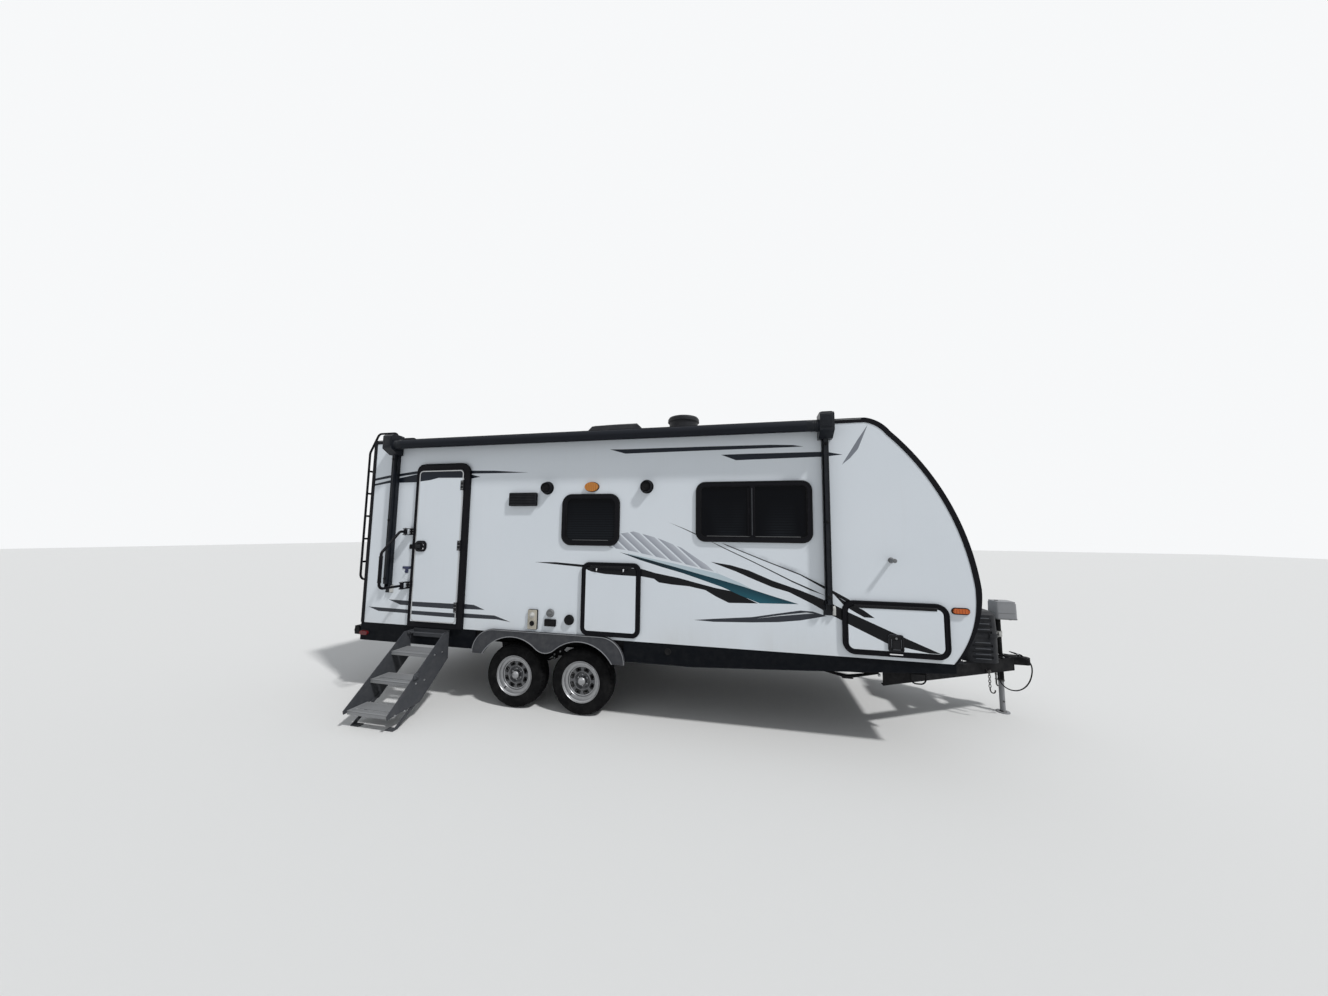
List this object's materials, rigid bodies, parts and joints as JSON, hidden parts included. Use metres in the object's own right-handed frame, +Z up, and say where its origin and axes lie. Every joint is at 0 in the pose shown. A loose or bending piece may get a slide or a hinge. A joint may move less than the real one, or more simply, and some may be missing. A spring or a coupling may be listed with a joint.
{
  "type": "travel caravan",
  "caption": "Tandem-axle travel caravan with a hollow body, opening entry door, hatches and bay lids, fold-up steps, swinging grab handle, rolled awning, roof units, ladder and drawbar.",
  "frame": {"origin": "centre of the bounding box on the ground", "axes": "+X forward towards the hitch, -Y towards the entry door side, +Z up"},
  "size_m": [7.6465, 3.236, 3.35],
  "materials": {
    "shell": "smooth off-white gelcoat",
    "roof": "roof membrane",
    "trim": "black",
    "skirt": "satin black",
    "fender": "textured dark grey",
    "chassis": "black chassis paint",
    "tyre": "worn",
    "rim": "silver",
    "glass": "dark tint",
    "step": "textured grey",
    "tread": "beige grey grip",
    "awning": "satin black",
    "fabric": "rolled awning cloth",
    "unit": "moulded cover",
    "head": "light grey",
    "lamp": "amber and red lenses"
  },
  "bodies": {
    "caravan": {"side_wall_door": "shell", "side_wall_road": "shell", "front_wall": "shell", "rear_wall": "shell", "roof": "roof", "floor": "chassis", "edge_trims": "trim", "skirts": "skirt", "fenders": "fender", "rails": "chassis", "crossmembers": "chassis", "rear_bumper": "chassis", "steadies": "chassis", "drawbars": "chassis", "coupler": "chassis", "jack_tube": "chassis", "jack_leg": "head", "jack_head": "head", "tow_lead": "trim", "tow_plug": "trim", "tow_gland": "trim", "axles": "chassis", "springs": "chassis", "spring_hangers": "chassis", "door_frame": "trim", "handle_brackets": "trim", "step_mount": "step", "window_frames": "trim", "window_glass": "glass", "service_hatch_frame": "trim", "bay_frames": "trim", "awning_arms": "awning", "awning_rail": "awning", "awning_roller": "fabric", "air_conditioner": "unit", "dome_antenna": "unit", "roof_vents": "head", "ladder": "trim", "gas_cover": "unit", "battery_box": "unit", "wall_fittings": "trim", "lamps": "lamp"},
    "entry_door": {"door_leaf": "shell", "door_latch": "trim"},
    "grab_bar": {"grab_handle": "trim"},
    "steps": {"step_stringers": "step", "step_treads": "tread"},
    "hatch_lid": {"service_hatch_lid": "shell"},
    "bay_lid_door": {"bay_door_lid": "shell"},
    "bay_lid_road": {"bay_road_lid": "shell"},
    "wheel_rear_door": {"tyre_rear_door": "tyre", "rim_rear_door": "rim"},
    "wheel_front_door": {"tyre_front_door": "tyre", "rim_front_door": "rim"},
    "wheel_rear_road": {"tyre_rear_road": "tyre", "rim_rear_road": "rim"},
    "wheel_front_road": {"tyre_front_road": "tyre", "rim_front_road": "rim"}
  },
  "joints": [
    {"name": "rear_door_wheel_spin", "type": "hinge", "parent": "caravan", "child": "wheel_rear_door", "pos_m": [-1.63125, -0.732, 0.338], "axis": [0, 1, 0], "continuous": true},
    {"name": "front_door_wheel_spin", "type": "hinge", "parent": "caravan", "child": "wheel_front_door", "pos_m": [-0.85825, -0.732, 0.338], "axis": [0, 1, 0], "continuous": true},
    {"name": "rear_road_wheel_spin", "type": "hinge", "parent": "caravan", "child": "wheel_rear_road", "pos_m": [-1.63125, 1.444, 0.338], "axis": [0, 1, 0], "continuous": true},
    {"name": "front_road_wheel_spin", "type": "hinge", "parent": "caravan", "child": "wheel_front_road", "pos_m": [-0.85825, 1.444, 0.338], "axis": [0, 1, 0], "continuous": true},
    {"name": "entry_door_hinge", "type": "hinge", "parent": "caravan", "child": "entry_door", "pos_m": [-2.33275, -0.9018, 1.7], "axis": [0, 0, 1], "range_deg": [0, 160]},
    {"name": "grab_handle_swing", "type": "hinge", "parent": "caravan", "child": "grab_bar", "pos_m": [-3.02975, -0.956, 1.567], "axis": [0, 0, 1], "range_deg": [0, 85]},
    {"name": "steps_fold", "type": "hinge", "parent": "caravan", "child": "steps", "pos_m": [-2.67075, -0.934, 0.745], "axis": [-1, 0, 0], "range_deg": [0, 110]},
    {"name": "service_hatch_hinge", "type": "hinge", "parent": "caravan", "child": "hatch_lid", "pos_m": [-0.53425, -0.8943, 1.542], "axis": [-1, 0, 0], "range_deg": [0, 165]},
    {"name": "bay_lid_door_hinge", "type": "hinge", "parent": "caravan", "child": "bay_lid_door", "pos_m": [2.11775, -0.8943, 1.266], "axis": [-1, 0, 0], "range_deg": [0, 165]},
    {"name": "bay_lid_road_hinge", "type": "hinge", "parent": "caravan", "child": "bay_lid_road", "pos_m": [2.11775, 1.6063, 1.266], "axis": [1, 0, 0], "range_deg": [0, 165]}
  ]
}
